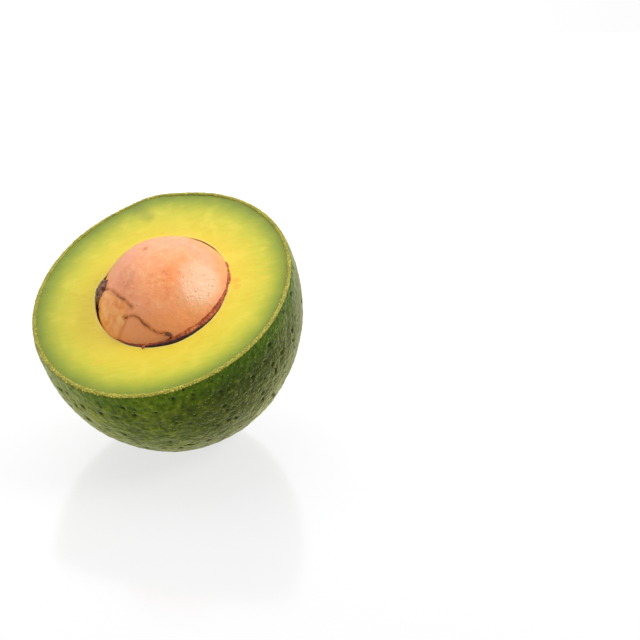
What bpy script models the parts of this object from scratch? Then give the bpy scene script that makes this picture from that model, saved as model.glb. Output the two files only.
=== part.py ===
"""Half of a round, green-skinned avocado, cut lengthwise, with its seed still in it.

The fruit is an ellipsoid with a slight swelling where its stem was. A flat knife cut goes past its
middle, so this is the larger of its two pieces. It lies on its skin on a small flattened spot, with the
cut face leaning forward and to one side.

Nodes: peel, flesh, seed_coat, seed. Metres, +Z up. The origin is the centre of the resting spot.

Everything is modelled in the fruit's own frame, which an empty then places: the origin is the fruit's
centre, +Y runs to the stem end, +X across and +Z squarely out of the cut face.
"""

from math import cos, exp, pi, radians, sin, sqrt

import bmesh
import bpy
from mathutils import Matrix, Vector

# ---------------------------------------------------------------- driving dimensions
FRUIT_HALF_WIDTH = 0.0434
FRUIT_HALF_LENGTH = 0.0482
FRUIT_HALF_DEPTH = 0.0467
CUT_ABOVE_CENTRE = 0.0090       # the knife missed the middle by this much
STEM_SWELLING = 0.0018          # how far the stem end stands out of the ellipsoid
STEM_SPREAD = radians(11)       # how wide the swelling is, seen from the fruit's centre
STEM_SIDEWAYS = radians(3.8)    # where the stem sat, off the +Y axis
STEM_BELOW_CUT = 0.0050

PEEL_THICKNESS = 0.0012
CLEARANCE = 0.0003              # between any two neighbouring pieces

SEED_HALF_WIDTH = 0.0220
SEED_HALF_LENGTH = 0.0251
SEED_HALF_DEPTH = 0.0200
SEED_CENTRE = Vector((0.0006, -0.0017, 0.0020))
SEED_TURN = radians(-10)        # its long axis, turned from the fruit's long axis
SEED_SLACK = 0.0011             # the dried coat has come loose from the seed's sides by this much
COAT_THICKNESS = 0.0004
COAT_BELOW_CUT = 0.0006         # the coat's edge lies just under the cut face

# ---------------------------------------------------------------- how it lies
LEAN = radians(28.4)            # the cut face, from level
LEAN_HEADING = radians(-22.4)   # the side it leans to, from the front
STEM_HEADING = radians(27.2)    # the stem end, turned about the cut face's normal
RESTING_FLAT = 0.0016           # how far the skin is flattened where it rests

# ---------------------------------------------------------------- fineness of the solids
FRUIT_STEPS = 48
SEED_STEPS = 40

FRUIT_HALVES = Vector((FRUIT_HALF_WIDTH, FRUIT_HALF_LENGTH, FRUIT_HALF_DEPTH))
SEED_HALVES = Vector((SEED_HALF_WIDTH, SEED_HALF_LENGTH, SEED_HALF_DEPTH))
CUT_NORMAL = Vector((0, 0, 1))

TURN = (
    Matrix.Rotation(LEAN_HEADING, 3, "Z")
    @ Matrix.Rotation(LEAN, 3, "X")
    @ Matrix.Rotation(STEM_HEADING, 3, "Z")
)
DOWN = TURN.transposed() @ Vector((0, 0, -1))
STEM_RISE = (CUT_ABOVE_CENTRE - STEM_BELOW_CUT) / FRUIT_HALF_LENGTH
STEM = Vector((-sin(STEM_SIDEWAYS), cos(STEM_SIDEWAYS), STEM_RISE)).normalized()


def lowest_point():
    """Where the fruit's ellipsoid would touch the table, in the fruit's frame."""
    reach = sqrt(sum((half * part) ** 2 for half, part in zip(FRUIT_HALVES, DOWN)))
    return Vector(half * half * part / reach for half, part in zip(FRUIT_HALVES, DOWN))


def resting_point():
    """The centre of the flattened spot: the ellipsoid's section there, in the fruit's frame."""
    lowest = lowest_point()
    height = lowest.dot(DOWN)
    return lowest * (height - RESTING_FLAT) / height


def fruit_point(direction, inset):
    """A point of the fruit's surface, or of the same surface `inset` further in."""
    swelling = STEM_SWELLING * exp(-((direction.angle(STEM) / STEM_SPREAD) ** 2))
    ellipsoid = Vector((half - inset) * part for half, part in zip(FRUIT_HALVES, direction))
    return ellipsoid + direction * swelling


def seed_point(direction, beside, beneath):
    """A point of the seed's surface, or of one `beside` further out at its sides and `beneath` deeper."""
    halves = SEED_HALVES + Vector((beside, beside, beneath))
    ellipsoid = Vector(half * part for half, part in zip(halves, direction))
    return Matrix.Rotation(SEED_TURN, 3, "Z") @ ellipsoid + SEED_CENTRE


def ball(point, steps):
    """A closed mesh with a vertex at point(direction) for each direction of a globe of `steps` meridians."""
    shape = bmesh.new()
    bmesh.ops.create_uvsphere(shape, u_segments=steps, v_segments=steps // 2, radius=1)
    for vertex in shape.verts:
        vertex.co = point(vertex.co.normalized())
    return shape


def slice_off(shape, place, normal):
    """Removes what lies on the normal's side of a plane and closes the cut with a flat face."""
    parts = shape.verts[:] + shape.edges[:] + shape.faces[:]
    cut = bmesh.ops.bisect_plane(
        shape, geom=parts, dist=1e-7, plane_co=place, plane_no=normal, clear_outer=True
    )
    edges = [part for part in cut["geom_cut"] if isinstance(part, bmesh.types.BMEdge)]
    bmesh.ops.edgeloop_fill(shape, edges=edges)


def fruit_shape(inset):
    """The whole fruit, `inset` under its skin and flattened where it rests."""
    shape = ball(lambda direction: fruit_point(direction, inset), FRUIT_STEPS)
    slice_off(shape, resting_point() - DOWN * inset, DOWN)
    return shape


def seed_shape(beside=0.0, beneath=0.0):
    return ball(lambda direction: seed_point(direction, beside, beneath), SEED_STEPS)


def at_cut(below=0.0):
    return Vector((0, 0, CUT_ABOVE_CENTRE - below))


def finish(name, shape):
    """Turns the shape into an object of that name, with outward faces and smooth shading."""
    bmesh.ops.recalc_face_normals(shape, faces=shape.faces[:])
    mesh = bpy.data.meshes.new(name)
    shape.to_mesh(mesh)
    shape.free()
    mesh.shade_smooth()
    mesh.set_sharp_from_angle(angle=pi / 6)
    made = bpy.data.objects.new(name, mesh)
    bpy.context.scene.collection.objects.link(made)
    made.parent = fruit_frame
    return made


def hollow(solid, name, shape):
    """Cuts the shape out of the solid."""
    cutter = finish(name, shape)
    cutter.hide_render = True
    cutter.display_type = "WIRE"
    cut = solid.modifiers.new(name, "BOOLEAN")
    cut.operation = "DIFFERENCE"
    cut.object = cutter


def paint(solid, colour, roughness):
    material = bpy.data.materials.new(solid.name)
    material.use_nodes = True
    shader = material.node_tree.nodes["Principled BSDF"]
    shader.inputs["Base Color"].default_value = (*colour, 1)
    shader.inputs["Roughness"].default_value = roughness
    shader.inputs["Metallic"].default_value = 0
    solid.data.materials.append(material)


def make_frame():
    """The empty that lays the fruit on the table, with its resting spot at the world's origin."""
    frame = bpy.data.objects.new("fruit_frame", None)
    frame.matrix_world = Matrix.Translation(TURN @ -resting_point()) @ TURN.to_4x4()
    bpy.context.scene.collection.objects.link(frame)
    return frame


def make_peel():
    """The green skin: a bowl of even thickness, open at the cut face."""
    shape = fruit_shape(0)
    slice_off(shape, at_cut(), CUT_NORMAL)
    peel = finish("peel", shape)
    hollow(peel, "peel_inside", fruit_shape(PEEL_THICKNESS))
    paint(peel, (0.10, 0.19, 0.03), 0.35)


def make_flesh():
    """The flesh: it fills the peel up to the cut face, round the seed's hollow."""
    shape = fruit_shape(PEEL_THICKNESS + CLEARANCE)
    slice_off(shape, at_cut(), CUT_NORMAL)
    flesh = finish("flesh", shape)
    around_coat = COAT_THICKNESS + CLEARANCE
    hollow(flesh, "seed_hollow", seed_shape(SEED_SLACK + around_coat, CLEARANCE + around_coat))
    paint(flesh, (0.80, 0.78, 0.20), 0.5)


def make_seed_coat():
    """The dried brown coat, a thin cup that the seed rests in, loose at its sides."""
    shape = seed_shape(SEED_SLACK + COAT_THICKNESS, CLEARANCE + COAT_THICKNESS)
    slice_off(shape, at_cut(COAT_BELOW_CUT), CUT_NORMAL)
    coat = finish("seed_coat", shape)
    hollow(coat, "coat_inside", seed_shape(SEED_SLACK, CLEARANCE))
    paint(coat, (0.25, 0.08, 0.04), 0.7)


def make_seed():
    """The seed, which stands out of the cut face as a dome."""
    seed = finish("seed", seed_shape())
    paint(seed, (0.78, 0.42, 0.26), 0.5)


for leftover in list(bpy.data.objects):
    bpy.data.objects.remove(leftover)

fruit_frame = make_frame()
make_peel()
make_flesh()
make_seed_coat()
make_seed()
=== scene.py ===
"""An avocado half with its seed: finished surfaces in place of the plain CAD pieces, on a pale table."""

from math import cos, pi, radians, sin

import bpy
import numpy as np
from mathutils import Matrix, Vector, noise


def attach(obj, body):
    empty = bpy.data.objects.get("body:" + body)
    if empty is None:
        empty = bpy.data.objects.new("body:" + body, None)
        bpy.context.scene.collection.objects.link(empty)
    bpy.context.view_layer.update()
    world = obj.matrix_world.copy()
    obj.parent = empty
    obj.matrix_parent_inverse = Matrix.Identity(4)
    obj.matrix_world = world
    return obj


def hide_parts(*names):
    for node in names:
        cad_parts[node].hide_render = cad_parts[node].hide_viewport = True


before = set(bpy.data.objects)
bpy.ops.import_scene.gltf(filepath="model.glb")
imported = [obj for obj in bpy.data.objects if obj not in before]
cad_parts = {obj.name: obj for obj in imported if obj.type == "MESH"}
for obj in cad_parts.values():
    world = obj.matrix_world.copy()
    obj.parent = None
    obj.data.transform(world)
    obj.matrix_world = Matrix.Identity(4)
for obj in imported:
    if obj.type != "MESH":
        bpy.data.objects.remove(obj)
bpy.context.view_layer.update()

MM = 0.001

# The fruit's own frame: centre at the origin, +Y to the stem end, +Z out of the cut face. Millimetres.
FRUIT_HALVES = np.array([43.4, 48.2, 46.7])
CUT = 9.0
STEM_SWELLING = 1.8
STEM_SPREAD = radians(11)
STEM_SIDEWAYS = radians(3.8)
STEM_BELOW_CUT = 5.0
PEEL = 1.2
RESTING_FLAT = 1.6
LEAN = radians(28.4)
LEAN_HEADING = radians(-22.4)
STEM_HEADING = radians(27.2)

# The seed and the hollow around it, also in millimetres.
SEED_HALVES = np.array([22.0, 25.1, 20.2])
SEED_CENTRE = np.array([0.6, -1.7, 2.0])
SEED_TURN = radians(-10)
HOLLOW_HALVES = np.array([23.0, 27.75, 21.5])
HOLLOW_CENTRE = np.array([0.1, -1.5, 2.0])
HOLLOW_TURN = 0.10

AROUND = 480


def turn_matrix():
    lean = Matrix.Rotation(LEAN, 3, "X")
    return Matrix.Rotation(LEAN_HEADING, 3, "Z") @ lean @ Matrix.Rotation(STEM_HEADING, 3, "Z")


TURN = np.array(turn_matrix())
DOWN = TURN.T @ np.array([0.0, 0.0, -1.0])
LOWEST = FRUIT_HALVES**2 * DOWN / np.sqrt(((FRUIT_HALVES * DOWN) ** 2).sum())
RESTING = LOWEST * (LOWEST @ DOWN - RESTING_FLAT) / (LOWEST @ DOWN)
STEM = np.array([-sin(STEM_SIDEWAYS), cos(STEM_SIDEWAYS), (CUT - STEM_BELOW_CUT) / FRUIT_HALVES[1]])
STEM /= np.linalg.norm(STEM)


def to_place(points):
    """Points of the fruit's frame, in millimetres, as points of the part's frame, in metres."""
    return (np.asarray(points) - RESTING) @ TURN.T * MM


def unit(vectors):
    return vectors / np.linalg.norm(vectors, axis=-1, keepdims=True)


def ease(values, low, high):
    """0 at low, 1 at high, with a soft start and end. High may be the smaller one."""
    share = np.clip((values - low) / (high - low), 0, 1)
    return share * share * (3 - 2 * share)


def ripple(points, size, shift=0.0):
    """Smooth noise from -1 to 1 whose lumps are about size across."""
    moved = np.asarray(points).reshape(-1, 3) / size + shift
    values = [noise.noise(Vector(point)) for point in moved.tolist()]
    return np.array(values).reshape(np.asarray(points).shape[:-1])


def path_distance(points, path):
    """How far each point is from a path of straight runs."""
    nearest = np.full(points.shape[:-1], np.inf)
    for start, end in zip(path[:-1], path[1:]):
        run = end - start
        share = np.clip((points - start) @ run / (run @ run), 0, 1)
        gap = np.linalg.norm(points - (start + share[..., None] * run), axis=-1)
        nearest = np.minimum(nearest, gap)
    return nearest


def plain_turn(angle):
    return np.array([[cos(angle), -sin(angle)], [sin(angle), cos(angle)]])


# ---------------------------------------------------------------- meshes


def ring_faces(rows, columns):
    """Quads that join each closed ring of points to the next one."""
    here = np.arange(columns)
    after = (here + 1) % columns
    bands = []
    for row in range(rows - 1):
        start = row * columns
        band = [start + here, start + columns + here, start + columns + after, start + after]
        bands.append(np.stack(band, axis=1))
    return np.concatenate(bands).tolist()


def make_piece(name, points, faces, attributes, materials, material_of=None):
    """A smooth mesh object in the part's frame, with its attributes and materials."""
    mesh = bpy.data.meshes.new(name)
    mesh.from_pydata(to_place(points).tolist(), [], faces)
    for label, values in attributes.items():
        layer = mesh.attributes.new(label, "FLOAT", "POINT")
        layer.data.foreach_set("value", np.asarray(values, dtype=np.float32).ravel())
    for material in materials:
        mesh.materials.append(material)
    if material_of is not None:
        mesh.polygons.foreach_set("material_index", np.asarray(material_of, dtype=np.int32))
    mesh.shade_smooth()
    mesh.update()
    piece = bpy.data.objects.new(name, mesh)
    bpy.context.scene.collection.objects.link(piece)
    return piece


def closed_rings(rings, first_tip, last_tip):
    """Points and faces of a body made of rings, closed at both ends by a single point."""
    rows, columns = rings.shape[:2]
    points = np.concatenate([rings.reshape(-1, 3), [first_tip], [last_tip]])
    faces = ring_faces(rows, columns)
    first, last = rows * columns, rows * columns + 1
    end = (rows - 1) * columns
    for here in range(columns):
        after = (here + 1) % columns
        faces.append([first, here, after])
        faces.append([last, end + after, end + here])
    return points, faces


# ---------------------------------------------------------------- nodes


class Socket:
    """A node's output, reckoned with like a number: each operator adds its Math node."""

    def __init__(self, maker, output):
        self.maker = maker
        self.output = output

    def __add__(self, other):
        return self.maker.math("ADD", self, other)

    def __sub__(self, other):
        return self.maker.math("SUBTRACT", self, other)

    def __rsub__(self, other):
        return self.maker.math("SUBTRACT", other, self)

    def __mul__(self, other):
        return self.maker.math("MULTIPLY", self, other)

    def __truediv__(self, other):
        return self.maker.math("DIVIDE", self, other)

    __radd__ = __add__
    __rmul__ = __mul__

    def above(self, limit):
        return self.maker.math("GREATER_THAN", self, limit)

    def most(self, other):
        return self.maker.math("MAXIMUM", self, other)

    def ease(self, low, high):
        """0 at low, 1 at high, with a soft start and end."""
        settings = {"interpolation_type": "SMOOTHSTEP"}
        limits = {"Value": self, "From Min": low, "From Max": high}
        return self.maker.add("ShaderNodeMapRange", settings, limits)


class Maker:
    """Adds nodes to one tree. add() takes a node's type, its settings and its sockets' values or links."""

    def __init__(self, tree):
        self.tree = tree
        tree.nodes.clear()

    def add(self, kind, settings=None, inputs=None, output=0):
        node = self.tree.nodes.new(kind)
        for name, value in (settings or {}).items():
            if name == "stops":
                self.set_stops(node.color_ramp, value)
            else:
                setattr(node, name, value)
        for key, value in (inputs or {}).items():
            socket = self.find(node.inputs, key)
            if isinstance(value, Socket):
                self.tree.links.new(value.output, socket)
            else:
                socket.default_value = value
        outputs = [o for o in node.outputs if o.enabled]
        return Socket(self, self.find(outputs, output)) if outputs else node

    @staticmethod
    def find(sockets, key):
        if isinstance(key, int):
            return sockets[key]
        exact = [s for s in sockets if s.identifier == key]
        named = [s for s in sockets if s.name == key and s.enabled]
        return (exact or named)[0]

    @staticmethod
    def set_stops(ramp, stops):
        while len(ramp.elements) < len(stops):
            ramp.elements.new(0.5)
        for element, (place, tint) in zip(ramp.elements, stops):
            element.position = place
            element.color = (*tint, 1)

    def math(self, operation, first, second):
        return self.add("ShaderNodeMath", {"operation": operation}, {0: first, 1: second})

    def mix(self, factor, first, second, blend="MIX"):
        """A colour between two colours."""
        settings = {"data_type": "RGBA", "blend_type": blend}
        colours = {"Factor_Float": factor}
        for key, tint in (("A_Color", first), ("B_Color", second)):
            colours[key] = tint if isinstance(tint, Socket) else (*tint, 1)
        return self.add("ShaderNodeMix", settings, colours)

    def ramp(self, factor, stops):
        return self.add("ShaderNodeValToRGB", {"stops": stops}, {"Fac": factor})

    def attribute(self, name):
        return self.add("ShaderNodeAttribute", {"attribute_name": name}, output="Fac")

    def noise(self, place, size, detail=3.0, roughness=0.55):
        """Soft noise from 0 to 1 whose lumps are about size millimetres across."""
        inputs = {"Vector": place, "Scale": 1 / (size * MM), "Detail": detail, "Roughness": roughness}
        return self.add("ShaderNodeTexNoise", {}, inputs, "Fac")

    def spots(self, place, spacing, radius, share=1.0):
        """1 inside scattered round spots, 0 outside. Share is how many of the places have one."""
        inputs = {"Vector": place, "Scale": 1 / (spacing * MM)}
        near = self.add("ShaderNodeTexVoronoi", {}, inputs, "Distance")
        tint = Socket(self, near.output.node.outputs["Color"])
        chance = self.add("ShaderNodeSeparateColor", {}, {"Color": tint}, "Red")
        there = self.math("LESS_THAN", chance, share)
        return near.ease(radius / spacing, 0.4 * radius / spacing) * there


def colour(red, green, blue):
    """A colour given as 0 to 255 on screen, as the linear values that shaders take."""
    shares = [value / 255 for value in (red, green, blue)]
    darkest = 10 / 255
    return tuple(((v + 0.055) / 1.055) ** 2.4 if v > darkest else v / 12.92 for v in shares)


def make_material(name, paint, **constants):
    """A Principled material. paint(maker, place) gives its varying sockets; constants are the fixed ones."""
    material = bpy.data.materials.new(name)
    material.use_nodes = True
    maker = Maker(material.node_tree)
    coordinates = maker.add("ShaderNodeTexCoord", output="Object")
    inputs = paint(maker, coordinates)
    for label, value in constants.items():
        inputs[label.replace("_", " ")] = value
    surface = maker.add("ShaderNodeBsdfPrincipled", {"subsurface_method": "RANDOM_WALK"}, inputs)
    maker.add("ShaderNodeOutputMaterial", {}, {"Surface": surface})
    return material


def bump(maker, height, distance, strength=1.0):
    """A bump whose full height is distance millimetres."""
    inputs = {"Strength": strength, "Distance": distance * MM, "Height": height}
    return maker.add("ShaderNodeBump", {}, inputs)


# ---------------------------------------------------------------- finishes


def paint_skin(maker, place):
    """Green peel: leathery pebbles, olive mottling, black pits, pale specks, a brown stem scar; painted
    shade on its right side and in the pebbles' dips, painted sheen on its left side and on the pebbles'
    tops.
    """
    broad = maker.noise(place, 22, 3)
    patches = maker.noise(place, 4, 4)
    pebble = maker.noise(place, 1.5, 2, 0.45)
    grain = maker.noise(place, 0.6, 3)
    tone = broad * 0.5 + patches * 0.3 + pebble * 0.3 - 0.05
    green = maker.ramp(tone, [
        (0.36, colour(50, 66, 0)), (0.47, colour(80, 98, 1)),
        (0.56, colour(102, 116, 4)), (0.66, colour(132, 138, 18))])
    sideways = maker.add("ShaderNodeSeparateXYZ", {}, {"Vector": place}, "X")
    # Painted shade: the peel is painted darker towards its right side.
    green = maker.mix(sideways.ease(-8 * MM, 26 * MM) * 0.74, green, colour(34, 42, 0))
    # Painted sheen: the peel is painted paler towards its left side.
    green = maker.mix(sideways.ease(-12 * MM, -36 * MM) * 0.4, green, colour(146, 152, 70))
    near_rim = maker.attribute("from_rim").ease(9.0, 0.5)
    green = maker.mix(near_rim * 0.4, green, colour(70, 112, 2))
    # Painted shade and highlight: the pebbles' dips are painted darker and their tops paler.
    green = maker.mix(pebble.ease(0.48, 0.34) * 0.3, green, colour(34, 46, 0))
    green = maker.mix(pebble.ease(0.56, 0.70) * 0.2, green, colour(140, 154, 44))
    specks = maker.spots(place, 0.95, 0.22, 0.35)
    green = maker.mix(specks * 0.75, green, colour(168, 184, 66))
    small_pits = maker.spots(place, 2.1, 0.55, 0.5)
    pits = maker.attribute("pit").most(small_pits * grain.ease(0.3, 0.5) * 0.9)
    green = maker.mix(pits * 0.95, green, colour(10, 13, 5))
    blemish = maker.spots(place, 11, 0.9, 0.4)
    green = maker.mix(blemish * 0.7, green, colour(112, 64, 30))
    scar = maker.attribute("scar")
    brown = maker.ramp(grain, [(0.3, colour(74, 52, 28)), (0.7, colour(142, 112, 66))])
    green = maker.mix(scar, green, brown)
    dull = maker.noise(place, 3.2, 3) * 0.2 + 0.2 + scar * 0.3 + pits * 0.25
    wrinkle = maker.noise(place, 0.8, 2, 0.4)
    relief = pebble * 1.1 + wrinkle * 0.4 + grain * 0.2 - pits * 0.8
    return {"Base Color": green, "Roughness": dull, "Normal": bump(maker, relief, 0.4)}


def paint_peel_edge(maker, place):
    """The peel where the knife went through: pale olive, gritty, dark at its outer side."""
    grit = maker.noise(place, 0.45, 3, 0.7)
    shade = maker.noise(place, 4, 3)
    across = maker.attribute("across")
    pale = maker.ramp(grit * 0.75 + shade * 0.3, [
        (0.32, colour(88, 86, 10)), (0.50, colour(150, 146, 34)), (0.68, colour(212, 204, 80))])
    outer = across.ease(0.86, 1.0)
    inner = across.ease(0.30, 0.0)
    edge = maker.mix(outer * 0.8, pale, colour(64, 60, 8))
    rusty = maker.spots(place, 5.5, 1.3, 0.4)
    edge = maker.mix(rusty * 0.6, edge, colour(120, 76, 16))
    edge = maker.mix(inner * 0.45, edge, colour(122, 134, 48))
    relief = grit + maker.noise(place, 0.2, 2) * 0.5
    return {"Base Color": edge, "Roughness": grit * 0.3 + 0.35, "Normal": bump(maker, relief, 0.12)}


def paint_grains(maker, place):
    """Stone cells in the peel's cut edge: pale yellow grains, some brighter."""
    tint = maker.noise(place, 0.5, 1)
    pale = maker.ramp(tint, [
        (0.3, colour(128, 122, 22)), (0.48, colour(190, 182, 46)), (0.64, colour(250, 240, 112))])
    return {"Base Color": pale, "Roughness": tint * 0.2 + 0.3}


# The flesh's colour by its depth below the peel, in millimetres.
FLESH_BY_DEPTH = [
    (0.0, (118, 134, 14)), (1.2, (130, 147, 18)), (2.6, (152, 165, 26)), (4.2, (178, 182, 32)),
    (6.6, (206, 201, 42)), (10.5, (226, 208, 42)), (16.0, (236, 210, 44)), (22.0, (242, 214, 54))]
FLESH_DEEPEST = 24.0
STREAK_HEADING = radians(8)


def stretched(maker, place, length):
    """A place drawn out along the knife's strokes, so that a pattern there runs in streaks."""
    settings = {"Rotation": (0, 0, STREAK_HEADING), "Scale": (length, 1, 1)}
    return maker.add("ShaderNodeMapping", {"vector_type": "TEXTURE"}, {"Vector": place, **settings})


def paint_flesh(maker, place):
    """Ripe flesh: green at the peel, butter yellow at the seed, with faint fibres and knife marks, and a
    painted highlight along the hollow's lip.
    """
    cloud = maker.noise(place, 7, 4)
    fibre = maker.noise(place, 1.6, 4)
    near_peel = maker.attribute("from_peel")
    depth = near_peel + (cloud - 0.5) * (near_peel.ease(1.0, 12.0) * 1.6 + 1.4) + (fibre - 0.5) * 1.0
    stops = [(d / FLESH_DEEPEST, colour(*c)) for d, c in FLESH_BY_DEPTH]
    flesh = maker.ramp(depth / FLESH_DEEPEST, stops)
    grained = stretched(maker, place, 5.0)
    strand = maker.noise(grained, 1.3, 4, 0.6)
    ripe = near_peel.ease(2.0, 8.0)
    patchy = ripe * 0.25 + 0.05
    flesh = maker.mix(cloud.ease(0.5, 0.72) * patchy, flesh, colour(246, 226, 84))
    golden = maker.noise(place, 3.4, 3).ease(0.52, 0.74)
    flesh = maker.mix(golden * patchy, flesh, colour(224, 188, 18))
    flesh = maker.mix(strand.ease(0.50, 0.72) * (ripe * 0.13 + 0.03), flesh, colour(240, 230, 104))
    flesh = maker.mix(strand.ease(0.48, 0.32) * (ripe * 0.11 + 0.03), flesh, colour(196, 172, 10))
    rare = maker.noise(place, 9, 2).ease(0.46, 0.62)
    flesh = maker.mix(strand.ease(0.58, 0.68) * ripe * rare * 0.45, flesh, colour(236, 178, 10))
    flesh = maker.mix(maker.attribute("stem_streak") * 0.35, flesh, colour(104, 122, 16))
    # Painted highlight: a pale line along the rounded lip of the hollow.
    lip_highlight = maker.attribute("from_seed")
    flesh = maker.mix(lip_highlight.ease(1.0, 0.1) * 0.5, flesh, colour(232, 222, 158))
    stain = maker.attribute("stain") * maker.noise(place, 1.8, 3).ease(0.2, 0.5)
    flesh = maker.mix(stain * 0.5, flesh, colour(240, 172, 10))
    flesh = maker.mix(maker.attribute("inside"), flesh, colour(96, 42, 14))
    streaks = stretched(maker, place, 14.0)
    knife = maker.noise(streaks, 0.8, 2)
    wet = 0.3 + fibre * 0.2 + knife * 0.08
    relief = fibre * 0.4 + strand * 0.4 + knife * 0.35 + maker.noise(place, 0.3, 2) * 0.2
    return {"Base Color": flesh, "Roughness": wet, "Normal": bump(maker, relief, 0.12)}


def paint_seed(maker, place):
    """Bare seed: salmon with an orange heart, pink edges, brown specks and stained cracks, a painted
    highlight on its right and painted shade on its left side.
    """
    cloud = maker.noise(place, 9, 4)
    fine = maker.noise(place, 1.3, 4)
    heart = maker.attribute("heart") * 0.75 + (cloud - 0.5) * 1.1 + (fine - 0.5) * 0.35 + 0.1
    seed = maker.ramp(heart, [
        (0.0, colour(252, 164, 118)), (0.35, colour(252, 162, 102)), (0.7, colour(252, 156, 86)),
        (1.0, colour(252, 146, 72))])
    dusk = maker.attribute("dusk") * maker.noise(place, 3.4, 4).ease(0.25, 0.65)
    seed = maker.mix(dusk * 0.7, seed, colour(206, 122, 78))
    fibres = maker.noise(stretched(maker, place, 4.0), 0.9, 3)
    tan = maker.attribute("tan") * fibres.ease(0.3, 0.6)
    seed = maker.mix(tan * 0.8, seed, colour(232, 172, 108))
    blotch = maker.noise(place, 2.4, 4, 0.6)
    seed = maker.mix(blotch.ease(0.50, 0.70) * 0.5, seed, colour(254, 194, 142))
    seed = maker.mix(blotch.ease(0.48, 0.30) * 0.5, seed, colour(226, 132, 74))
    seed = maker.mix(fine.ease(0.54, 0.70) * 0.3, seed, colour(255, 204, 160))
    highlight_and_specks_mask = maker.attribute("specked")
    # Painted highlight: the seed is painted paler around its highlight, where it is also speckled.
    seed = maker.mix(highlight_and_specks_mask * 0.5, seed, colour(255, 208, 168))
    sideways = maker.add("ShaderNodeSeparateXYZ", {}, {"Vector": place}, "X")
    # Painted shade: the seed is painted darker and more orange towards its left side.
    side = sideways.ease(-4 * MM, -20 * MM)
    seed = maker.mix(side * 0.7, seed, colour(230, 132, 64))
    lobe = maker.attribute("lobe")
    golden = maker.ramp(maker.noise(place, 2.6, 3), [
        (0.32, colour(234, 130, 42)), (0.5, colour(246, 156, 66)), (0.66, colour(252, 186, 98))])
    seed = maker.mix(lobe * 0.85, seed, golden)
    seed = maker.mix(maker.attribute("pale_spot") * 0.8, seed, colour(252, 198, 108))
    seed = maker.mix(maker.attribute("rust") * 0.75, seed, colour(246, 154, 80))
    fleck = maker.spots(place, 1.2, 0.36, 0.4) * highlight_and_specks_mask
    specks = maker.spots(place, 2.2, 0.24, 0.6).most(fleck)
    seed = maker.mix(specks * 0.55, seed, colour(168, 90, 52))
    crack = maker.attribute("crack")
    seed = maker.mix(crack.ease(0.06, 0.60) * 0.7, seed, colour(214, 122, 34))
    seed = maker.mix(crack.ease(0.60, 0.92) * 0.9, seed, colour(136, 62, 12))
    speckle = maker.noise(place, 0.45, 3)
    relief = fine * 0.8 + blotch * 0.8 + speckle * (highlight_and_specks_mask * 0.6 + 0.3) - specks * 0.5
    dull = 0.26 + fine * 0.2 + crack * 0.2 - highlight_and_specks_mask * 0.1
    return {"Base Color": seed, "Roughness": dull, "Normal": bump(maker, relief, 0.22)}


def paint_coat(maker, place):
    """Papery seed coat: red-brown against the seed, with painted shade: near black on its outer side deep in
    the gap, and in its dips.
    """
    cloud = maker.noise(place, 1.6, 4)
    fine = maker.noise(place, 0.4, 3)
    outer = maker.attribute("outer")
    crust = maker.attribute("crust")
    red = maker.ramp(cloud, [
        (0.3, colour(128, 42, 8)), (0.5, colour(186, 80, 24)), (0.68, colour(222, 128, 60))])
    grey = maker.ramp(cloud * 0.6 + fine * 0.4, [
        (0.34, colour(86, 40, 20)), (0.5, colour(146, 94, 64)), (0.66, colour(184, 136, 106))])
    # Painted shade: where the outer attribute is set the coat is painted near black; on the torn coat this
    # is its outer side deep in the gap.
    coat = maker.mix(outer * 0.95, red, colour(50, 15, 5))
    coat = maker.mix(crust, coat, grey)
    # Painted shade: the coat's dips are painted near black.
    shaded_hollows = maker.noise(place, 1.1, 3).ease(0.46, 0.36) * (crust * 0.7 + 0.3)
    coat = maker.mix(shaded_hollows * 0.9, coat, colour(26, 8, 3))
    relief = fine + cloud * 1.2 - shaded_hollows * 1.5
    return {"Base Color": coat, "Roughness": fine * 0.3 + 0.3, "Normal": bump(maker, relief, 0.3)}


FLOOR_TONE = (0.17, 0.17, 0.174)
FLOOR_UNEVENNESS = 0.015


def paint_floor(maker, place):
    """Pale, faintly glossy table top. Its material adds a glow, so that it comes out white."""
    cloud = maker.noise(place, 400, 2)
    top = maker.mix(cloud, FLOOR_TONE, tuple((1 - FLOOR_UNEVENNESS) * part for part in FLOOR_TONE))
    return {"Base Color": top, "Roughness": 0.12 + cloud * 0.04}


SKIN = make_material(
    "avocado_peel", paint_skin, Specular_IOR_Level=0.07, Sheen_Weight=0.5,
    Sheen_Roughness=0.35, Sheen_Tint=(1.0, 1.0, 0.3, 1.0))
PEEL_EDGE = make_material("cut_peel_edge", paint_peel_edge, Specular_IOR_Level=0.4)
GRAINS = make_material("stone_cells", paint_grains, Specular_IOR_Level=0.5)
FLESH = make_material(
    "avocado_flesh", paint_flesh, Subsurface_Weight=0.25, Subsurface_Radius=(1.0, 0.8, 0.25),
    Subsurface_Scale=1.2 * MM, Specular_IOR_Level=0.28)
SEED = make_material(
    "bare_seed", paint_seed, Subsurface_Weight=0.15, Subsurface_Radius=(1.0, 0.5, 0.3),
    Subsurface_Scale=0.8 * MM, Specular_IOR_Level=0.6)
COAT = make_material("seed_coat_skin", paint_coat, Specular_IOR_Level=0.5)
FLOOR = make_material(
    "pale_table", paint_floor, Specular_IOR_Level=0.5,
    Emission_Color=(1, 1, 1, 1), Emission_Strength=0.72)


# ---------------------------------------------------------------- the fruit's surfaces


AZIMUTHS = np.arange(AROUND) * 2 * pi / AROUND


def directions(around, down):
    """Unit directions from an angle around +Z and an angle down from it."""
    around, down = np.broadcast_arrays(around, down)
    return np.stack([np.cos(around) * np.sin(down), np.sin(around) * np.sin(down), np.cos(down)], axis=-1)


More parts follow.
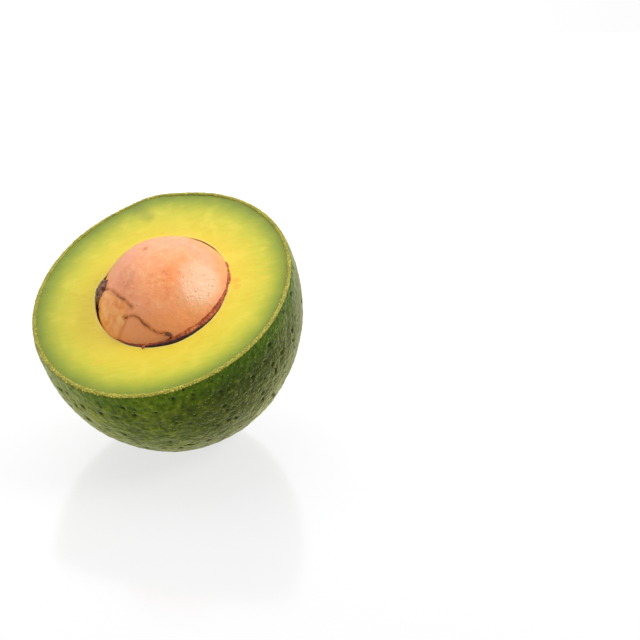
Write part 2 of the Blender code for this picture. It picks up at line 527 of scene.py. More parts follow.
def fruit_surface(pointing, inset):
    """Where the fruit's surface, or one inset below it, lies in these directions from its centre."""
    apart = np.arccos(np.clip(pointing @ STEM, -1, 1))
    swelling = STEM_SWELLING * np.exp(-((apart / STEM_SPREAD) ** 2))
    return (FRUIT_HALVES - inset) * pointing + pointing * swelling[..., None]


def rim_angles(inset):
    """How far down from +Z that surface meets the cut, all the way round."""
    low = np.full(AROUND, 0.5)
    high = np.full(AROUND, 2.0)
    for _ in range(40):
        middle = (low + high) / 2
        above = fruit_surface(directions(AZIMUTHS, middle), inset)[:, 2] > CUT
        low = np.where(above, middle, low)
        high = np.where(above, high, middle)
    return (low + high) / 2


REST_SOFTNESS = 0.12


def rest_flat(points, lift):
    """Presses the bottom flat, so that nothing is lower than lift above the table."""
    height = (RESTING - points) @ DOWN - lift
    pressed = (height + np.sqrt(height**2 + 4 * REST_SOFTNESS**2)) / 2
    return points - DOWN * (pressed - height)[..., None]


def wall_rings(inset, rows, lift):
    """Rings down a surface of the fruit, from the rim nearly to the bottom, and the bottom's point."""
    rim = rim_angles(inset)
    share = (np.arange(rows) / rows)[:, None]
    down = rim + (pi - rim) * share
    tip = fruit_surface(directions(0.0, pi), inset)
    return rest_flat(fruit_surface(directions(AZIMUTHS, down), inset), lift), rest_flat(tip, lift)


OUTER_ROWS = 138
INNER_ROWS = 22
# The peel's cut edge: its rows from the inside out, how far it rises, laps over the flesh and tucks under.
BAND_STEPS = np.array([0.0, 0.14, 0.3, 0.46, 0.62, 0.78, 0.92])
BAND_RISE = 0.26
EDGE_SPREAD = 0.35
EDGE_TUCK = 0.45
SCAR_RADIUS = 2.6
RIM_RADIUS = 45.0


def circle_of(radius, around):
    return np.stack([radius * np.cos(around), radius * np.sin(around), 0 * around], axis=-1)


def rim_raggedness(size, shift):
    return ripple(circle_of(RIM_RADIUS, AZIMUTHS), size, shift)


def skin_rings():
    """The skin's rings, from its inner bottom up, across the cut edge and down the outside."""
    outer, outer_tip = wall_rings(0.0, OUTER_ROWS, 0.0)
    inner, inner_tip = wall_rings(PEEL, INNER_ROWS, PEEL)
    inward = unit(-outer[0] * [1, 1, 0])
    ragged = 0.16 * rim_raggedness(2.4, 5.0) + 0.08 * rim_raggedness(0.9, 9.0)
    inner[0] += inward * ragged[:, None]
    outer[0] += inward * (0.10 * rim_raggedness(1.6, 2.0) + 0.05)[:, None]
    inner_edge = inner[0] + inward * EDGE_SPREAD
    band = inner_edge + (outer[0] - inner_edge) * BAND_STEPS[:, None, None]
    crest = np.sin(pi * BAND_STEPS)[:, None] * (BAND_RISE + 0.09 * rim_raggedness(1.1, 3.0))
    grit = 0.05 * ripple(band, 0.6)
    band[..., 2] += crest + grit
    band[0, :, 2] -= EDGE_TUCK
    outer[0, :, 2] -= 0.08
    return np.concatenate([inner[::-1], band, outer]), inner_tip, outer_tip


def skin_attributes(rings):
    rows = len(rings)
    first_outer = rows - OUTER_ROWS
    outside = np.zeros((rows, AROUND))
    from_rim = np.zeros((rows, AROUND))
    across = np.zeros((rows, AROUND))
    across[INNER_ROWS:first_outer] = BAND_STEPS[:, None]
    across[first_outer:] = 1
    steps = np.linalg.norm(np.diff(rings[first_outer:], axis=0), axis=-1)
    from_rim[first_outer + 1:] = np.cumsum(steps, axis=0)
    outside[first_outer:] = ease(from_rim[first_outer:], 0.1, 1.6)
    apart = np.linalg.norm(rings - fruit_surface(STEM, 0.0), axis=-1)
    scar = ease(apart, SCAR_RADIUS + 0.5, SCAR_RADIUS - 0.4) * (outside > 0)
    return {"outside": outside, "from_rim": from_rim, "across": across, "scar": scar}


def dent_scar(rings):
    """Sinks the stem's scar and raises the ring of peel around it."""
    place = fruit_surface(STEM, 0.0)
    apart = np.linalg.norm(rings - place, axis=-1)
    sink = 0.9 * ease(apart, SCAR_RADIUS, 0.6) - 0.45 * np.exp(-(((apart - 3.3) / 0.8) ** 2))
    sink[: len(rings) - OUTER_ROWS + 1] = 0
    return rings - STEM * sink[..., None]


def with_tips(values):
    """An attribute on rings, with a value for each end point."""
    return np.concatenate([values.ravel(), [values[0, 0]], [values[-1, 0]]])


def make_skin():
    rings, inner_tip, outer_tip = skin_rings()
    attributes = skin_attributes(rings)
    rings = dent_scar(rings)
    points, faces = closed_rings(rings, inner_tip, outer_tip)
    first_outer = len(rings) - OUTER_ROWS
    finish = np.repeat([1] * first_outer + [0] * (OUTER_ROWS - 1), AROUND)
    tips = [1, 0] * AROUND
    attributes = {label: with_tips(values) for label, values in attributes.items()}
    return make_piece("avocado_skin", points, faces, attributes, [SKIN, PEEL_EDGE], [*finish, *tips])


# ---------------------------------------------------------------- flesh


HOLLOW_ROWS = 34
FACE_ROWS = 58
# Where the flesh's lip leans on the seed: the angle around it, how wide and how far, in millimetres.
LIP_HUGS = [
    (radians(62), radians(30), 0.55), (radians(95), radians(24), 1.1), (radians(126), radians(20), 0.8),
    (radians(145), radians(11), 0.75)]
# The lip's rounding: how far out from the hollow's edge, and how far above the cut.
LIP = [(0.02, -0.32), (0.10, -0.14), (0.28, -0.03)]
LIP_WIDTH = 0.6
STROKE_SLANT = 0.06
STROKE_SIZE = (26, 1.7)
FACE_SINK = 0.06
BORDER_LAP = 0.2
INSIDE_SKIN = PEEL + 0.05
INSIDE_ROWS = 14


def hollow_surface(pointing):
    points = pointing * HOLLOW_HALVES
    points[..., :2] = points[..., :2] @ plain_turn(HOLLOW_TURN).T
    return points + HOLLOW_CENTRE


def flesh_rings():
    """The flesh's rings: up the hollow, over its lip, across the cut face and down inside the skin."""
    lip_angle = np.arccos((CUT - LIP_WIDTH - HOLLOW_CENTRE[2]) / HOLLOW_HALVES[2])
    down = pi + (lip_angle - pi) * (np.arange(1, HOLLOW_ROWS + 1) / HOLLOW_ROWS)[:, None]
    hollow = hollow_surface(directions(AZIMUTHS, down))
    edge_angle = np.arccos((CUT - HOLLOW_CENTRE[2]) / HOLLOW_HALVES[2])
    edge = hollow_surface(directions(AZIMUTHS, edge_angle))
    edge[:, 2] = CUT
    outward = unit((edge - HOLLOW_CENTRE) * [1, 1, 0])
    hug = sum(reach * np.exp(-(((AZIMUTHS - at) / wide) ** 2)) for at, wide, reach in LIP_HUGS)
    edge = edge + outward * (0.15 * ripple(edge, 3.5) - hug)[:, None]
    lip = np.stack([edge + outward * out + [0, 0, drop] for out, drop in LIP])
    outer, outer_tip = wall_rings(INSIDE_SKIN, INSIDE_ROWS, INSIDE_SKIN)
    border_inset = PEEL - BORDER_LAP
    border = fruit_surface(directions(AZIMUTHS, rim_angles(border_inset)), border_inset)
    start = edge + outward * LIP_WIDTH
    share = (np.arange(FACE_ROWS) / (FACE_ROWS - 1))[:, None, None]
    face = start + (border - start) * share
    face[..., 2] = CUT + face_relief(face)
    face[-1, :, 2] = CUT - 0.10
    rings = np.concatenate([hollow, lip, face, outer[1:]])
    return rings, hollow_surface(directions(0.0, pi)), outer_tip, edge, border


def face_relief(face):
    """The cut face isn't quite flat: soft waves and the knife's long shallow strokes."""
    waves = 0.16 * ripple(face, 14, 3.0) + 0.05 * ripple(face, 3.5, 8.0)
    along = np.array([1.0, STROKE_SLANT, 0.0])
    beside = np.array([-STROKE_SLANT, 1.0, 0.0])
    length, width = STROKE_SIZE
    strokes = np.stack([face @ along / length, face @ beside / width, 0 * face[..., 0]], axis=-1)
    return waves + 0.035 * ripple(strokes, 1.0, 4.0) - FACE_SINK


def nearest_on(outline, points):
    """How far each point is from the closest point of a closed outline."""
    rows = []
    for row in points.reshape(-1, AROUND, 3):
        rows.append(np.linalg.norm(row[:, None] - outline[None], axis=-1).min(axis=1))
    return np.array(rows).reshape(points.shape[:-1])


STEM_STREAK = np.array([[-10.4, 46.8, CUT], [-7.4, 42.0, CUT], [-3.9, 36.9, CUT]])
# Small orange stains in the cut face: where each is, and its radius.
STAINS = [((23.9, -5.8), 2.3), ((24.3, -8.6), 2.0), ((20.9, -15.5), 0.6), ((0.8, 26.3), 1.0)]


def make_flesh():
    rings, inner_tip, outer_tip, edge, border = flesh_rings()
    points, faces = closed_rings(rings, inner_tip, outer_tip)
    face = np.zeros(rings.shape[:2])
    face[HOLLOW_ROWS:HOLLOW_ROWS + len(LIP) + FACE_ROWS] = 1
    from_seed = nearest_on(edge, rings) * face
    stain = np.zeros(rings.shape[:2])
    for (x, y), radius in STAINS:
        apart = np.linalg.norm(rings - [x, y, CUT], axis=-1)
        stain = np.maximum(stain, ease(apart, radius, radius * 0.3))
    greener = 0.34 * ease(rings[..., 1], -14, 34) + 0.10 * ease(rings[..., 0], -6, -36)
    attributes = {
        "from_peel": nearest_on(border, rings) * (1 - greener),
        "from_seed": from_seed,
        "stem_streak": ease(path_distance(rings, STEM_STREAK), 4.0, 0.5) * face,
        "stain": stain,
        "inside": (1 - face) * ease(rings[..., 2], CUT - 0.2, CUT - 1.8),
    }
    attributes = {label: with_tips(values) for label, values in attributes.items()}
    return make_piece("cut_flesh", points, faces, attributes, [FLESH])


# ---------------------------------------------------------------- seed


SEED_AROUND = 380
SEED_ROWS = 210
BALL_RADIUS = 21.0
SEED_OVAL = 0.009
SEED_CORNERS = (0.017, 0.013)
SEED_STEM_DROP = 0.039
# How much closer the seed's columns are on its upper side.
SEED_CROWDING = 0.4

# Cracks in the seed's face and the broken-looking lobe between them, as points on its surface.
LONG_CRACK = np.array([
    [-15.6, -4.2, 15.4], [-12.3, -8.3, 17.5], [-10.4, -11.3, 17.8],
    [-8.1, -14.4, 17.6], [-6.7, -16.5, 17.0]])
LOW_CRACK = np.array([
    [-9.6, -17.9, 14.6], [-8.6, -18.1, 14.9], [-6.5, -19.0, 15.3],
    [-5.1, -20.0, 14.9], [-4.0, -21.3, 13.9], [-2.4, -22.7, 12.7],
    [-1.0, -23.6, 11.6], [0.5, -24.1, 10.8], [3.1, -24.5, 9.6]])
SIDE_CRACK = np.array([[-9.3, -19.1, 13.7], [-11.6, -19.8, 11.1], [-13.1, -20.2, 8.6]])
LOBE = np.array([
    [-15.6, -4.2], [-12.3, -8.3], [-10.4, -11.3], [-8.1, -14.4], [-7.2, -16.6], [-9.1, -18.1],
    [-11.6, -19.8], [-13.4, -20.6], [-22.0, -18.0], [-24.0, -6.0], [-18.0, -3.0]])
PIT = np.array([-9.1, -18.2, 14.7])
NICK = np.array([-1.6, 4.5, 21.3])
PALE_SPOT = np.array([-10.9, -17.6, 13.8])
HEART = np.array([3.6, -6.8, 21.0])
DUSK = np.array([-8.2, -7.6, 19.7])
TAN = np.array([12.6, -17.2, 13.0])
# Centre of the seed's painted highlight, where it is also speckled.
SPECKS_AND_HIGHLIGHT = np.array([14.2, -10.5, 15.6])


def seed_surface(pointing):
    """The seed's own lopsided egg: three soft corners, and lower towards the stem end."""
    around = np.arctan2(pointing[..., 1], pointing[..., 0])
    ahead, beside = SEED_CORNERS
    corners = 1 + SEED_OVAL * np.cos(2 * around)
    corners += ahead * np.cos(3 * around) + beside * np.sin(3 * around)
    points = SEED_HALVES * pointing
    points[..., :2] *= corners[..., None]
    points[..., 2] *= 1 - SEED_STEM_DROP * pointing[..., 1]
    points[..., :2] = points[..., :2] @ plain_turn(SEED_TURN).T
    return points + SEED_CENTRE


def inside_outline(points, outline):
    """Whether each point, seen from above, lies inside a closed outline."""
    x, y = points[..., 0], points[..., 1]
    inside = np.zeros(x.shape, dtype=bool)
    for (x0, y0), (x1, y1) in zip(outline, np.roll(outline, -1, axis=0)):
        crosses = (y0 > y) != (y1 > y)
        inside ^= crosses & (x < x0 + (y - y0) * (x1 - x0) / (y1 - y0))
    return inside


def on_ball(points):
    """Points of the seed moved onto a plain ball of about its size, so that marks lie on its surface."""
    return unit((points - SEED_CENTRE) / SEED_HALVES) * BALL_RADIUS


def mark_distance(points, mark):
    """How far points of the seed are from a mark: one point or a path."""
    ball, mark = on_ball(points), on_ball(mark)
    wobble = np.stack([ripple(ball, 2.4, shift) for shift in (3.0, 11.0, 19.0)], axis=-1)
    jagged = np.stack([ripple(ball, 0.8, 5.0), ripple(ball, 0.8, 13.0), 0 * wobble[..., 0]], axis=-1)
    ball = ball + 0.45 * wobble + 0.16 * jagged
    return path_distance(ball, mark) if mark.ndim > 1 else np.linalg.norm(ball - mark, axis=-1)


def seed_marks(points):
    """Where the seed is cracked, stained and speckled, and where its highlight is painted."""
    above = ease(points[..., 2], CUT - 4, CUT - 1)
    flat = points * [1, 1, 0]
    outline = np.column_stack([LOBE, np.zeros(len(LOBE))])
    border = path_distance(flat, np.concatenate([outline, outline[:1]]))
    inside = inside_outline(points, LOBE)
    lobe = ease(np.where(inside, border, -border), -0.1, 0.9) * above
    faint = 0.86 + 0.22 * ripple(points, 3.0, 5.0) + 0.12 * ripple(points, 0.9, 3.0)
    crack = np.maximum.reduce([
        ease(mark_distance(points, LONG_CRACK), 1.5, -0.1),
        ease(mark_distance(points, LOW_CRACK), 1.4, -0.1),
        0.55 * ease(mark_distance(points, SIDE_CRACK), 1.0, 0.0),
        0.8 * ease(mark_distance(points, PIT), 1.9, 0.1),
        0.85 * ease(mark_distance(points, NICK), 1.5, 0.2)]) * faint
    return {
        "crack": crack * above,
        "lobe": lobe,
        "pale_spot": ease(mark_distance(points, PALE_SPOT), 2.0, 0.7),
        "rust": ease(points @ np.array([0.0, -0.9, -0.3]), 8.5, 17.0),
        "heart": ease(mark_distance(points, HEART), 14, 1),
        "dusk": ease(mark_distance(points, DUSK), 6.6, 0.5),
        "tan": ease(mark_distance(points, TAN), 9.0, 2.0),
        # Where the seed's highlight is painted and its specks are scattered.
        "specked": ease(mark_distance(points, SPECKS_AND_HIGHLIGHT), 8.5, 4.5),
    }


def groove(distance, depth, width):
    """A narrow groove with slightly raised lips."""
    lips = 0.22 * np.exp(-(((distance - 2.6 * width) / width) ** 2))
    return depth * (lips - np.exp(-((distance / width) ** 2)))


def seed_relief(points, marks):
    """How far the seed's surface stands out or in: lumps, cracks, pit, nick and the proud lobe."""
    relief = 0.14 * ripple(points, 9, 2.0) + 0.07 * ripple(points, 3.4, 6.0)
    relief += 0.03 * ripple(points, 1.3, 4.0)
    above = ease(points[..., 2], CUT - 4, CUT - 1)
    relief += groove(mark_distance(points, LONG_CRACK), 0.17, 0.25) * above
    relief += groove(mark_distance(points, LOW_CRACK), 0.17, 0.25) * above
    relief += groove(mark_distance(points, SIDE_CRACK), 0.08, 0.26) * above
    relief -= 0.50 * ease(mark_distance(points, PIT), 1.1, 0.1)
    relief -= 0.40 * ease(mark_distance(points, NICK), 1.0, 0.2)
    proud = marks["lobe"] * (0.22 + 0.45 * ease(points[..., 0], -11, -17))
    proud += 0.12 * marks["rust"]
    return relief + proud


def make_seed():
    turns = np.arange(SEED_AROUND) * 2 * pi / SEED_AROUND
    turns = turns - SEED_CROWDING * np.sin(turns)
    along = (np.arange(1, SEED_ROWS) / SEED_ROWS * pi)[:, None]
    lengthways = np.broadcast_to(-np.cos(along), (SEED_ROWS - 1, SEED_AROUND))
    pointing = np.stack([
        -np.sin(turns) * np.sin(along), lengthways, np.cos(turns) * np.sin(along)], axis=-1)
    rings = seed_surface(pointing)
    marks = seed_marks(rings)
    outward = unit((rings - SEED_CENTRE) / SEED_HALVES**2)
    rings = rings + outward * seed_relief(rings, marks)[..., None]
    tips = seed_surface(np.array([[0.0, -1.0, 0.0], [0.0, 1.0, 0.0]]))
    points, faces = closed_rings(rings, tips[0], tips[1])
    attributes = {label: with_tips(values) for label, values in marks.items()}
    return make_piece("seed_kernel", points, faces, attributes, [SEED])


# ---------------------------------------------------------------- seed coat


COAT_AROUND = 720
COAT_ROWS = 30
# Round the seed, in degrees: the torn coat's height above the cut, its thickness and its lower edge.
COAT_SHAPE = np.array([
    (-180, 6.2, 1.3, -0.5), (-177, 5.9, 1.2, 2.6), (-172, 5.2, 1.0, 3.6), (-169, 4.2, 0.6, 3.8),
    (-166, -3.0, 0.5, -7.0), (-161, -2.6, 0.5, -7.0), (-145, -1.1, 0.8, -7.0), (-128, -0.5, 1.0, -7.0),
    (-110, -0.4, 1.2, -7.0), (-80, -0.4, 1.8, -7.0), (-50, -0.3, 1.9, -7.0), (-20, -0.1, 1.5, -7.0),
    (10, 0.1, 0.8, -7.0), (30, -0.4, 0.55, -7.0), (55, -1.1, 0.4, -7.0), (90, -1.8, 0.4, -7.0),
    (125, -1.6, 0.4, -7.0), (146, -1.0, 0.5, -7.0), (155, 0.2, 0.9, -7.0), (163, 3.0, 1.3, -7.0),
    (169, 5.6, 1.4, -7.0), (173, 6.6, 1.2, -7.0), (177, 6.4, 1.3, -7.0), (180, 6.2, 1.3, -0.5)])
RED_SIDE = radians(-42)
RED_SPREAD = radians(34)
CRUST_FROM = radians(146)
CRUST_TO = radians(160)
CRUST_ENDS = (radians(-162), radians(-168))
COAT_RADIUS = 22.0
COAT_BITE = 0.15


def seed_section(around, height):
    """Points of the seed's side at these heights, and the directions pointing away from it."""
    level = np.clip((height - SEED_CENTRE[2]) / SEED_HALVES[2], -1, 1)
    pointing = directions(around - SEED_TURN, np.arccos(level))
    points = seed_surface(pointing)
    return points, unit((points - SEED_CENTRE) / SEED_HALVES**2)


def make_coat():
    around = np.arange(COAT_AROUND) * 2 * pi / COAT_AROUND - pi
    circle = circle_of(COAT_RADIUS, around)
    ragged = 0.26 * ripple(circle, 2.6) + 0.16 * ripple(circle, 0.9, 7.0)
    angles = np.radians(COAT_SHAPE[:, 0])
    top = CUT + np.interp(around, angles, COAT_SHAPE[:, 1]) + ragged
    thick = np.interp(around, angles, COAT_SHAPE[:, 2])
    foot = CUT + np.interp(around, angles, COAT_SHAPE[:, 3])
    crust = np.maximum(ease(around, CRUST_FROM, CRUST_TO), ease(around, *CRUST_ENDS))
    share = (np.arange(COAT_ROWS) / (COAT_ROWS - 1))[:, None]
    height = foot + (top - foot) * share**0.7
    base, outward = seed_section(around, height)
    rounded = np.sqrt(np.clip(1 - share**6, 0, 1))
    flare = 1 + 0.3 * ripple(circle, 3.4, 1.0) + 0.12 * ripple(circle, 1.0, 4.0)
    thickness = thick * flare * rounded + 0.05
    inner = base - outward * COAT_BITE
    outer = base + outward * thickness[..., None]
    lumps = 0.75 * ripple(outer, 1.6, 3.0) + 0.35 * ripple(outer, 0.7, 5.0)
    outer = outer + outward * (lumps * (0.12 + crust) * rounded)[..., None]
    rings = np.concatenate([inner, outer[::-1]])
    faces = ring_faces(len(rings) + 1, COAT_AROUND)
    faces = (np.array(faces) % (len(rings) * COAT_AROUND)).tolist()
    # Painted shade: the coat's outer side is painted near black deeper than red_depth below the cut, and it
    # stays red deepest near RED_SIDE.
    red_depth = 0.45 + 0.5 * np.exp(-(((around - RED_SIDE) / RED_SPREAD) ** 2))
    depth = CUT - height[::-1] - red_depth
    side = np.concatenate([0 * height, ease(depth, 0.0, 0.5)])
    crust = np.broadcast_to(crust, side.shape)
    attributes = {"outer": side, "crust": crust}
    return make_piece("torn_coat", rings.reshape(-1, 3), faces, attributes, [COAT])


SCRAP_HEADING = np.array([0.97, -0.22, 0.0])
SCRAP_STEPS = 22
SCRAP_COLUMNS = 14


def make_scrap(name, start, bend, width, thickness, curl, darkness):
    """A torn scrap of coat: a flat strip that bends up out of the gap, thinner at both ends."""
    share = np.linspace(0.02, 0.98, SCRAP_STEPS)
    turn = curl * share
    along = np.stack([np.sin(turn), 1 - np.cos(turn)], axis=-1) * bend
    upward = np.array([0.0, 0.0, 1.0])
    across = np.cross(upward, SCRAP_HEADING)
    centre = start + along[:, :1] * SCRAP_HEADING + along[:, 1:] * upward
    normal = -np.sin(turn)[:, None] * SCRAP_HEADING + np.cos(turn)[:, None] * upward
    size = np.sin(pi * share)[:, None] ** 0.6
    angle = -np.arange(SCRAP_COLUMNS) * 2 * pi / SCRAP_COLUMNS
    flat = (np.cos(angle) * width / 2)[None, :, None] * across
    thick = (np.sin(angle) * thickness / 2)[None, :, None] * normal[:, None]
    rings = centre[:, None] + (flat + thick) * size[:, None]
    rings = rings + 0.08 * ripple(rings, 0.7, 2.0)[..., None] * upward
    points, faces = closed_rings(rings, centre[0], centre[-1])
    attributes = {"outer": np.full(len(points), darkness), "crust": np.zeros(len(points))}
    return make_piece(name, points, faces, attributes, [COAT])


# ---------------------------------------------------------------- Geometry Nodes


def new_tree(name, sizes, materials=()):
    """A Geometry Nodes tree with a mesh in and out, and a named input for each size and material."""
    tree = bpy.data.node_groups.new(name, "GeometryNodeTree")
    maker = Maker(tree)
    tree.interface.new_socket("Geometry", in_out="INPUT", socket_type="NodeSocketGeometry")
    tree.interface.new_socket("Geometry", in_out="OUTPUT", socket_type="NodeSocketGeometry")
    for label in sizes:
        tree.interface.new_socket(label, in_out="INPUT", socket_type="NodeSocketFloat")
    for label in materials:
        tree.interface.new_socket(label, in_out="INPUT", socket_type="NodeSocketMaterial")
    entry = tree.nodes.new("NodeGroupInput")
    inputs = {o.name: Socket(maker, o) for o in entry.outputs if o.name}
    return maker, inputs


def run_tree(piece, maker, values):
    """Runs the tree on a piece and leaves the result as its plain mesh."""
    tree = maker.tree
    modifier = piece.modifiers.new(tree.name, "NODES")
    modifier.node_group = tree
    sockets = {s.name: s.identifier for s in tree.interface.items_tree if s.in_out == "INPUT"}
    for label, value in values.items():
        modifier[sockets[label]] = value
    graph = bpy.context.evaluated_depsgraph_get()
    result = bpy.data.meshes.new_from_object(piece.evaluated_get(graph), depsgraph=graph)
    piece.modifiers.remove(modifier)
    old = piece.data
    result.name = old.name + "_made"
    piece.data = result
    bpy.data.meshes.remove(old)
    return piece


def scattered_pits(maker, place, scale, radius, share):
    """Pits of uneven size. A share of the pattern's cells have one; radius is a part of their spacing."""
    near = maker.add("ShaderNodeTexVoronoi", {}, {"Vector": place, "Scale": scale}, "Distance")
    tint = Socket(maker, near.output.node.outputs["Color"])
    chance = maker.add("FunctionNodeSeparateColor", {}, {"Color": tint}, "Red")
    reach = (share - chance).most(0.0) * (radius / share) + 0.0001
    return (near / reach).ease(1.15, 0.45) * maker.math("LESS_THAN", chance, share)


def pebble_skin(skin):
    """Gives the skin its pebbled bumps and pits, and marks the pits for its finish."""
    sizes = {
        "Bump size": 2.4 * MM, "Bump height": 0.28 * MM, "Pit spacing": 2.8 * MM, "Pit depth": 0.32 * MM}
    maker, inputs = new_tree("Pebbled skin", sizes, ["Skin finish", "Edge finish"])
    place = maker.add("GeometryNodeInputPosition")
    outside = maker.add(
        "GeometryNodeInputNamedAttribute", {"data_type": "FLOAT"}, {"Name": "outside"}, "Attribute")
    scale = maker.math("DIVIDE", 1, inputs["Bump size"])
    bumps = maker.add("ShaderNodeTexNoise", {}, {"Vector": place, "Scale": scale, "Detail": 2.0}, "Fac")
    wide = {"Vector": place, "Scale": scale * 0.3, "Detail": 1.0}
    broad = maker.add("ShaderNodeTexNoise", {}, wide, "Fac")
    pit_scale = maker.math("DIVIDE", 1, inputs["Pit spacing"])
    bend = {"Vector": place, "Scale": 260.0, "Detail": 1.0}
    warp = maker.add("ShaderNodeTexNoise", {}, bend, "Color")
    warp = maker.add("ShaderNodeVectorMath", {"operation": "SCALE"}, {0: warp, "Scale": 1.6 * MM})
    warped = maker.add("ShaderNodeVectorMath", {"operation": "ADD"}, {0: place, 1: warp})
    pits = scattered_pits(maker, warped, pit_scale, 0.40, 0.85)
    lift = (bumps - 0.5) * inputs["Bump height"] * 2.0 + (broad - 0.5) * inputs["Bump height"] * 2.4
    lift = (lift - pits * inputs["Pit depth"]) * outside
    normal = maker.add("GeometryNodeInputNormal")
    offset = maker.add("ShaderNodeVectorMath", {"operation": "SCALE"}, {0: normal, "Scale": lift})
    moved = maker.add("GeometryNodeSetPosition", {}, {"Geometry": inputs["Geometry"], "Offset": offset})
    above_table = {0: place, 1: (-1, -1, 0)}
    lifted = maker.add("ShaderNodeVectorMath", {"operation": "MAXIMUM"}, above_table)
    pressed = maker.add("GeometryNodeSetPosition", {}, {"Geometry": moved, "Position": lifted})
    marked = maker.add(
        "GeometryNodeStoreNamedAttribute", {"data_type": "FLOAT", "domain": "POINT"},
        {"Geometry": pressed, "Name": "pit", "Value": pits * outside})
    real = maker.add("GeometryNodeRealizeInstances", {}, {"Geometry": marked})
    finish = maker.add("GeometryNodeInputMaterialIndex")
    on_skin = maker.math("LESS_THAN", finish, 0.5)
    coated = maker.add(
        "GeometryNodeSetMaterial", {},
        {"Geometry": real, "Selection": on_skin, "Material": inputs["Skin finish"]})
    edged = maker.add(
        "GeometryNodeSetMaterial", {},
        {"Geometry": coated, "Selection": finish.above(0.5), "Material": inputs["Edge finish"]})
    maker.add("NodeGroupOutput", {}, {0: edged})
    return run_tree(skin, maker, {**sizes, "Skin finish": SKIN, "Edge finish": PEEL_EDGE})


def make_grains(skin):
    """Stone cells: tiny grains scattered along the peel's cut edge."""
    mesh = skin.data.copy()
    grains = bpy.data.objects.new("rim_grains", mesh)
    bpy.context.scene.collection.objects.link(grains)
    sizes = {"Grain size": 0.32 * MM, "Grain spacing": 0.34 * MM}
    maker, inputs = new_tree("Stone cells", sizes, ["Grain finish"])
    across = maker.add(
        "GeometryNodeInputNamedAttribute", {"data_type": "FLOAT"}, {"Name": "across"}, "Attribute")
    on_band = across.above(0.12) * maker.math("LESS_THAN", across, 0.93)
    scattered = maker.add(
        "GeometryNodeDistributePointsOnFaces", {"distribute_method": "POISSON"},
        {"Mesh": inputs["Geometry"], "Selection": on_band, "Distance Min": inputs["Grain spacing"],
         "Density Max": 6.0e6, "Density Factor": 1.0, "Seed": 4}, "Points")
    grain = maker.add(
        "GeometryNodeMeshIcoSphere", {}, {"Radius": inputs["Grain size"], "Subdivisions": 1})
    turn = maker.add(
        "FunctionNodeRandomValue", {"data_type": "FLOAT_VECTOR"}, {"Max": (6.3, 6.3, 6.3), "Seed": 1})
    spread = maker.add(
        "FunctionNodeRandomValue", {"data_type": "FLOAT_VECTOR"},
        {"Min": (0.25, 0.25, 0.2), "Max": (1.1, 1.0, 0.8), "Seed": 2})
    placed = maker.add(
        "GeometryNodeInstanceOnPoints", {},
        {"Points": scattered, "Instance": grain, "Rotation": turn, "Scale": spread})
    real = maker.add("GeometryNodeRealizeInstances", {}, {"Geometry": placed})
    smooth = maker.add("GeometryNodeSetShadeSmooth", {}, {"Geometry": real})
    finished = maker.add(
        "GeometryNodeSetMaterial", {}, {"Geometry": smooth, "Material": inputs["Grain finish"]})
    maker.add("NodeGroupOutput", {}, {0: finished})
    return run_tree(grains, maker, {**sizes, "Grain finish": GRAINS})


# ---------------------------------------------------------------- table, light and camera


FLOOR_HALF = 3.0


def make_floor():
    half = FLOOR_HALF
    corners = [(-half, -half, 0), (half, -half, 0), (half, half, 0), (-half, half, 0)]
    mesh = bpy.data.meshes.new("table_top")
    mesh.from_pydata(corners, [], [(0, 1, 2, 3)])
    mesh.materials.append(FLOOR)
    floor = bpy.data.objects.new("table_top", mesh)
    bpy.context.scene.collection.objects.link(floor)
    return floor


def add_softbox(name, place, aim, width, height, power):
    """A soft rectangular light at place, facing aim."""
    light = bpy.data.lights.new(name, "AREA")
    light.shape = "RECTANGLE"
    light.size = width
    light.size_y = height
    light.energy = power
    lamp = bpy.data.objects.new(name, light)
    lamp.location = place
    lamp.rotation_euler = (Vector(aim) - Vector(place)).to_track_quat("-Z", "Y").to_euler()
    bpy.context.scene.collection.objects.link(lamp)


WALL_GLOW = 1.1
ROOM_GLOW = 0.42
LEFT_GLOW = 0.26
RIGHT_SHADE = 0.14


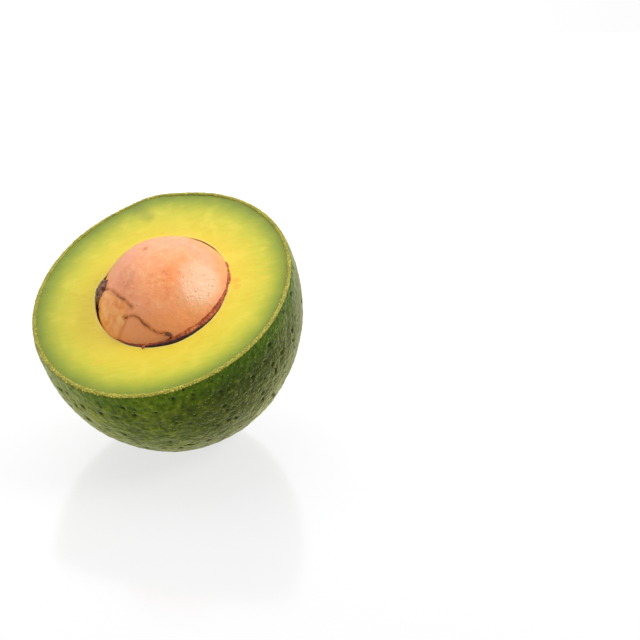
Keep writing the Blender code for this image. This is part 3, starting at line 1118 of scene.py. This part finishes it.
def light_room():
    """White walls behind, a dimmer room in front that is brighter at the left, and two soft lamps."""
    world = bpy.data.worlds.new("white_room")
    world.use_nodes = True
    maker = Maker(world.node_tree)
    towards = maker.add("ShaderNodeTexCoord", output="Generated")
    depth = maker.add("ShaderNodeSeparateXYZ", {}, {"Vector": towards}, "Y")
    sideways = maker.add("ShaderNodeSeparateXYZ", {}, {"Vector": towards}, "X")
    left = sideways.ease(0.5, -0.7)
    room = left * LEFT_GLOW + ROOM_GLOW - RIGHT_SHADE
    strength = depth.ease(-0.5, 0.6) * (WALL_GLOW - ROOM_GLOW) + room
    glow = maker.add("ShaderNodeBackground", {}, {"Color": (1, 1, 1, 1), "Strength": strength})
    maker.add("ShaderNodeOutputWorld", {}, {"Surface": glow})
    bpy.context.scene.world = world
    middle = (0, 0, 0.04)
    add_softbox("key_light", (0.75, -0.05, 0.62), middle, width=0.4, height=0.4, power=5.2)
    add_softbox("top_light", (-0.25, 0.25, 1.0), middle, width=0.9, height=0.9, power=3.6)


CAMERA_PLACE = (0.0478, -0.3098, 0.1440)
CAMERA_TILT = radians(71.5)
CAMERA_LENS = 56.25
CAMERA_SENSOR = 36.0


def add_camera():
    camera = bpy.data.cameras.new("camera")
    camera.lens = CAMERA_LENS
    camera.sensor_width = CAMERA_SENSOR
    camera.clip_start = 0.01
    holder = bpy.data.objects.new("camera", camera)
    holder.location = CAMERA_PLACE
    holder.rotation_euler = (CAMERA_TILT, 0, 0)
    bpy.context.scene.collection.objects.link(holder)
    bpy.context.scene.camera = holder


def main():
    skin = pebble_skin(make_skin())
    grains = make_grains(skin)
    flesh = make_flesh()
    coat = make_coat()
    seed = make_seed()
    curl = make_scrap(
        "coat_curl", np.array([2.2, -25.0, 8.9]), bend=0.95, width=1.5, thickness=0.36,
        curl=4.4, darkness=0.85)
    flap = make_scrap(
        "coat_flap", np.array([-6.4, -26.3, 8.9]), bend=1.7, width=1.5, thickness=0.6,
        curl=0.8, darkness=0.0)
    finished = [
        (skin, "peel"), (grains, "peel"), (flesh, "flesh"), (coat, "seed_coat"), (curl, "seed_coat"),
        (flap, "seed_coat"), (seed, "seed")]
    for piece, slot in finished:
        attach(piece, "root")
    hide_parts("peel")
    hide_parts("flesh")
    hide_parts("seed_coat")
    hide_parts("seed")
    make_floor()
    light_room()
    add_camera()
    bpy.context.scene.view_settings.view_transform = "Standard"


main()
